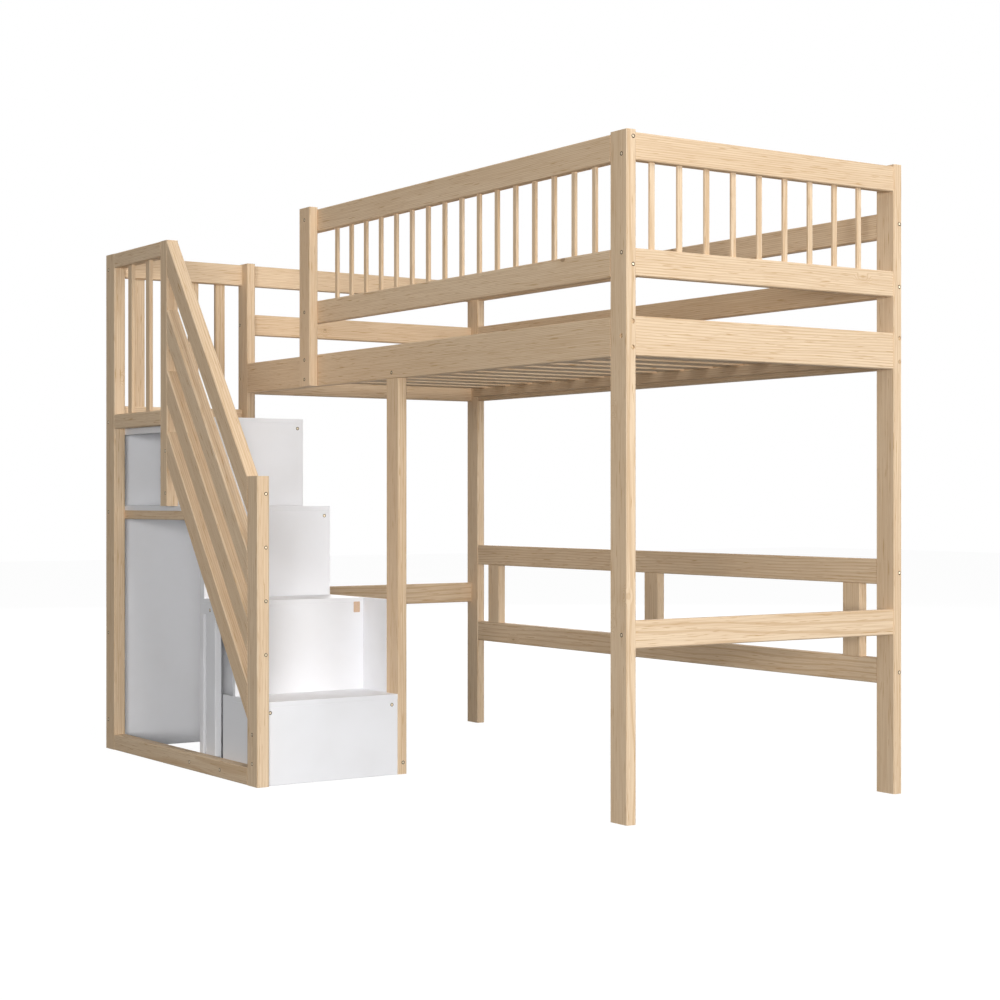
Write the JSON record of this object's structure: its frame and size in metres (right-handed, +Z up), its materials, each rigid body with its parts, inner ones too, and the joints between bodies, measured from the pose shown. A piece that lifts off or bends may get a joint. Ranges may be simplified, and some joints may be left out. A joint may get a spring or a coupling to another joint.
{
  "type": "loft bed with storage stairs",
  "caption": "Pine loft bed with slatted base and railed guards, reached by a white box staircase with a slanted screen, landing and open storage under the steps.",
  "frame": {"origin": "on the floor, in the middle of the overall length and width", "axes": "+X along the bed towards the foot end, +Y across it from the staircase to the back, +Z up"},
  "size_m": [2.177, 1.432, 1.74],
  "materials": {
    "pine": "clear satin lacquer",
    "white_board": "white satin coating",
    "hardware": "satin"
  },
  "bodies": {
    "root": {"back_bed_rail": "pine", "back_frame_lower_rail": "pine", "back_frame_upper_rail": "pine", "back_frame_uprights": "pine", "back_guard_lower_rail": "pine", "back_guard_top_rail": "pine", "back_slat_cleat": "pine", "barrel_nuts": "hardware", "bed_rail_bolts": "hardware", "bed_slats": "pine", "divider_panel": "white_board", "foot_back_post": "pine", "foot_bed_rail": "pine", "foot_front_post": "pine", "foot_guard_balusters": "pine", "foot_guard_lower_rail": "pine", "foot_guard_top_rail": "pine", "foot_stretcher": "pine", "front_bed_rail": "pine", "front_cleats": "white_board", "front_guard_balusters": "pine", "front_guard_lower_rail": "pine", "front_guard_top_rail": "pine", "front_slat_cleat": "pine", "gate_post": "pine", "handrail": "pine", "hanging_post": "pine", "head_back_post": "pine", "head_bed_rail": "pine", "head_front_post": "pine", "head_guard_lower_rail": "pine", "head_guard_top_rail": "pine", "head_stretcher": "pine", "inner_cleats": "white_board", "inner_panels": "white_board", "landing_board": "white_board", "landing_end_balusters": "pine", "landing_end_lower_rail": "pine", "landing_end_top_rail": "pine", "landing_guard_balusters": "pine", "landing_guard_lower_rail": "pine", "landing_guard_top_rail": "pine", "middle_leg": "pine", "newel_post": "pine", "riser_1": "white_board", "riser_2": "white_board", "riser_3": "white_board", "riser_4": "white_board", "screen_boards": "pine", "shelf_rail": "pine", "stair_bottom_rail": "pine", "stair_outer_post": "pine", "step_1_back_panel": "white_board", "step_1_side_panel": "white_board", "step_2_back_panel": "white_board", "step_2_stile": "white_board", "tread_1": "white_board", "tread_2": "white_board", "tread_3_shelf": "white_board", "wardrobe_end_panel": "white_board"}
  },
  "joints": []
}
